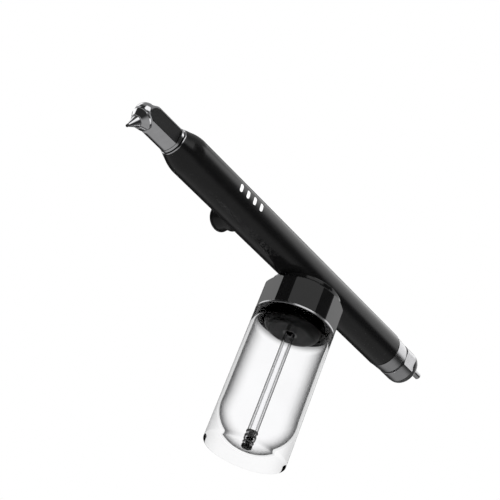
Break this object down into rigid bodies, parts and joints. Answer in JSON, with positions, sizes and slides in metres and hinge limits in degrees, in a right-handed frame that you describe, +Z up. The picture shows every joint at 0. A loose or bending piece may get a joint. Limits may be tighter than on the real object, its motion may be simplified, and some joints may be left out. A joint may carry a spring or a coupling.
{
  "type": "powder airbrush gun",
  "caption": "Pen-shaped compressed-air powder gun: black barrel, angled nozzle on a swivel neck, push button, clear screw-on jar, rear air coupling.",
  "frame": {"origin": "centre of the jar's flat base, which the gun stands on", "axes": "+Z up along the jar's axis, -X along the barrel towards the nozzle, Y across"},
  "size_m": [0.1957, 0.034, 0.0907],
  "materials": {
    "black_satin": "satin black coating",
    "black_gloss": "polished black",
    "plug_black": "moulded black",
    "rear_black": "moulded dark grey-black",
    "dark_inlay": "fine matt charcoal",
    "chrome": "polished chrome plate",
    "satin_silver": "fine turned satin",
    "clear_plastic": "clear thick-walled moulding",
    "clear_tube": "clear drawn tube",
    "seal_rubber": "matt black rubber",
    "spring_steel": "drawn steel",
    "brass": "turned brass",
    "bronze": "sintered bronze",
    "seat_plastic": "natural acetal",
    "carbide": "sintered black"
  },
  "bodies": {
    "handpiece": {"barrel_shell": "black_satin", "nose_ring": "chrome", "swivel_bush": "bronze", "valve_block": "brass", "valve_guide": "brass", "valve_seat": "seat_plastic", "valve_cap": "brass", "mixing_block": "brass", "air_line": "spring_steel", "feed_line": "spring_steel", "powder_line": "spring_steel", "jar_hub": "black_gloss", "jar_collar": "black_gloss", "hub_nut": "brass", "collar_plug": "plug_black", "jar_gasket": "seal_rubber", "dip_gland": "seal_rubber", "dip_tube": "clear_tube", "dip_orings": "seal_rubber", "dip_tip": "plug_black", "rear_collar": "satin_silver", "coupling_core": "satin_silver", "rear_boot": "rear_black", "air_spigot": "satin_silver", "rear_gasket": "seal_rubber"},
    "head": {"neck": "chrome", "inlay_left": "dark_inlay", "inlay_right": "dark_inlay", "neck_orings": "seal_rubber", "neck_clip": "spring_steel", "nozzle_tube": "chrome", "nozzle_liner": "carbide", "nozzle_seal": "seal_rubber"},
    "tip_nut": {"nozzle_nut": "chrome"},
    "trigger": {"button_cap": "black_gloss", "valve_stem": "spring_steel", "poppet_seal": "seal_rubber", "valve_spring": "spring_steel"},
    "jar_ring": {"trim_ring": "satin_silver"},
    "jar": {"jar": "clear_plastic"},
    "coupling": {"coupling_nut": "satin_silver"}
  },
  "joints": [
    {"name": "head_swivel", "type": "hinge", "parent": "handpiece", "child": "head", "pos_m": [-0.0913, 0, 0.0823], "axis": [1, 0, 0], "continuous": true},
    {"name": "nozzle_nut_turn", "type": "hinge", "parent": "head", "child": "tip_nut", "pos_m": [-0.1057, 0, 0.0823], "axis": [-0.5446, 0, -0.8387], "continuous": true},
    {"name": "button_press", "type": "slide", "parent": "handpiece", "child": "trigger", "axis": [0, -1, 0], "range_m": [0, 0.0016], "stiffness_N_per_m": 500, "springref_m": -0.002},
    {"name": "jar_travel", "type": "slide", "parent": "handpiece", "child": "jar_ring", "axis": [0, 0, -1], "range_m": [0, 0.008]},
    {"name": "jar_turn", "type": "hinge", "parent": "jar_ring", "child": "jar", "pos_m": [0, 0, 0], "axis": [0, 0, -1], "range_deg": [0, 728]},
    {"name": "coupling_turn", "type": "hinge", "parent": "handpiece", "child": "coupling", "pos_m": [0.068, 0, 0.0823], "axis": [1, 0, 0], "continuous": true}
  ],
  "couplings": [
    {"joint": "jar_turn", "follows": "jar_travel", "rad_per_m": 1570.8}
  ]
}
